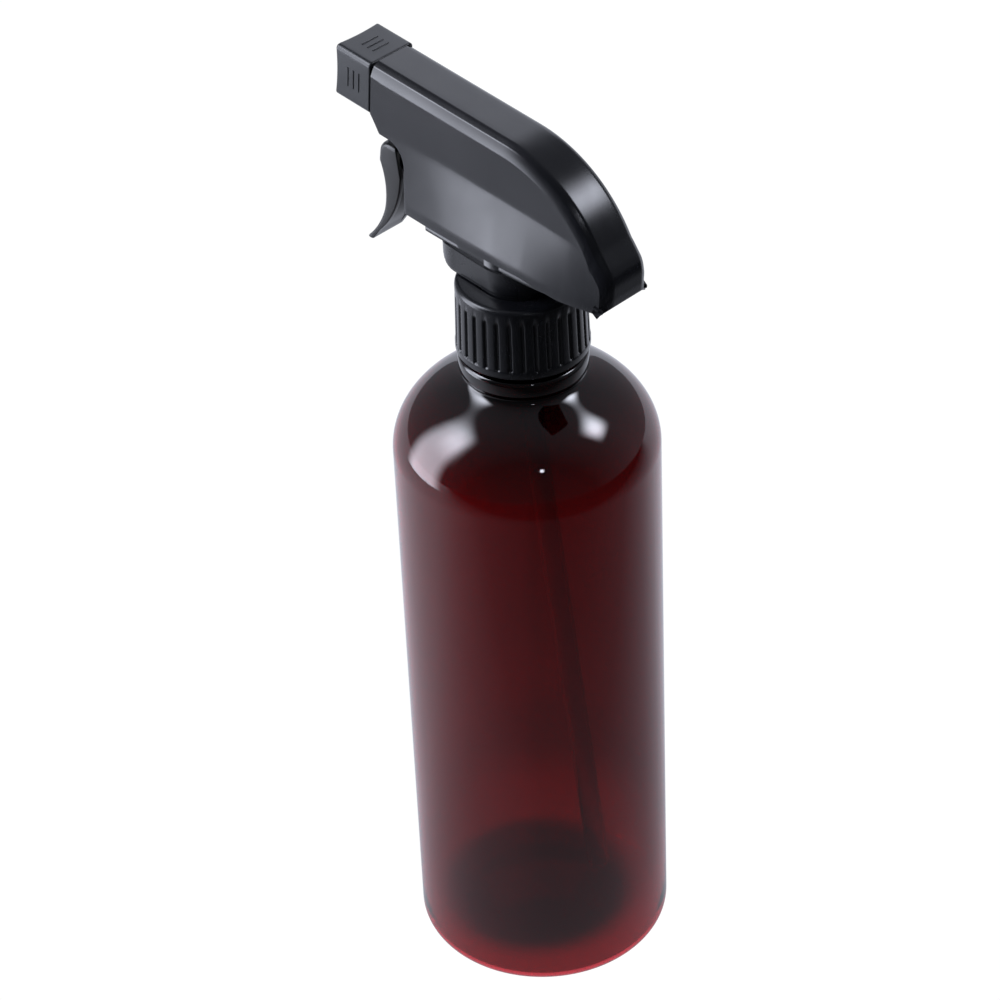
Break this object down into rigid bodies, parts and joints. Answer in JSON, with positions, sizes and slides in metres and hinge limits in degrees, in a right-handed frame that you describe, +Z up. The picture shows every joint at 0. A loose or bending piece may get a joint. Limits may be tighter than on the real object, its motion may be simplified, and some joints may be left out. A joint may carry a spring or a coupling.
{
  "type": "trigger spray bottle",
  "caption": "Round amber plastic spray bottle with a black ribbed screw closure and a trigger pump head with a square turning nozzle.",
  "frame": {"origin": "centre of the bottle's foot, on the plane it stands on", "axes": "+Z up along the bottle's axis; the nozzle points along -Y; +X is the sprayer's left side"},
  "size_m": [0.065, 0.0872, 0.2448],
  "materials": {
    "amber_pet": "glossy translucent blow-moulded PET",
    "black_closure": "moulded polypropylene, semi-gloss",
    "black_shroud": "moulded polypropylene, satin gloss",
    "black_body": "moulded polypropylene, semi-gloss",
    "black_trigger": "moulded polypropylene, satin",
    "black_nozzle": "moulded polypropylene, satin",
    "natural_polyethylene": "natural polyethylene",
    "clear_tube": "extruded translucent tube",
    "white_foam": "foamed polyethylene washer",
    "black_rubber": "nitrile rubber",
    "spring_steel": "drawn stainless wire",
    "valve_glass": "ground glass ball"
  },
  "bodies": {
    "bottle": {"bottle": "amber_pet"},
    "head": {"pump_body": "black_body", "shroud": "black_shroud", "barrel_plug": "black_body", "spray_core": "natural_polyethylene", "tube_retainer": "natural_polyethylene", "retainer_o_ring": "black_rubber", "closure_gasket": "white_foam", "dip_tube": "clear_tube", "return_spring": "spring_steel", "outlet_spring": "spring_steel"},
    "closure": {"closure": "black_closure"},
    "trigger": {"trigger": "black_trigger"},
    "piston": {"piston": "natural_polyethylene", "piston_seal": "black_rubber", "vent_seal": "black_rubber"},
    "nozzle": {"nozzle_cap": "black_nozzle", "nozzle_seal": "white_foam"},
    "inlet_ball": {"inlet_ball": "valve_glass"},
    "outlet_ball": {"outlet_ball": "valve_glass"}
  },
  "joints": [
    {"name": "head_lift", "type": "slide", "parent": "bottle", "child": "head", "axis": [0, 0, 1], "range_m": [0, 0.00529]},
    {"name": "closure_turn", "type": "hinge", "parent": "head", "child": "closure", "pos_m": [0, 0, 0.19], "axis": [0, 0, 1], "range_deg": [0, 450]},
    {"name": "trigger_pull", "type": "hinge", "parent": "head", "child": "trigger", "pos_m": [0, -0.03614, 0.22815], "axis": [1, 0, 0], "range_deg": [0, 22], "stiffness_Nm_per_rad": 0.6, "springref_deg": -5.73},
    {"name": "piston_slide", "type": "slide", "parent": "head", "child": "piston", "axis": [0, 0.9945, -0.1045], "range_m": [0, 0.0038], "deforming": ["return_spring"]},
    {"name": "nozzle_turn", "type": "hinge", "parent": "head", "child": "nozzle", "pos_m": [0, -0.04475, 0.2371], "axis": [0, -0.9945, 0.1045], "continuous": true},
    {"name": "inlet_ball_lift", "type": "slide", "parent": "head", "child": "inlet_ball", "axis": [0, 0, 1], "range_m": [0, 0.0012]},
    {"name": "outlet_ball_slide", "type": "slide", "parent": "head", "child": "outlet_ball", "axis": [0, -0.9945, 0.1045], "range_m": [0, 0.001], "stiffness_N_per_m": 40, "springref_m": -0.002, "deforming": ["outlet_spring"]}
  ],
  "couplings": [
    {"joint": "closure_turn", "follows": "head_lift", "rad_per_m": 1485.4},
    {"joint": "piston_slide", "follows": "trigger_pull", "m_per_rad": 0.009808}
  ]
}
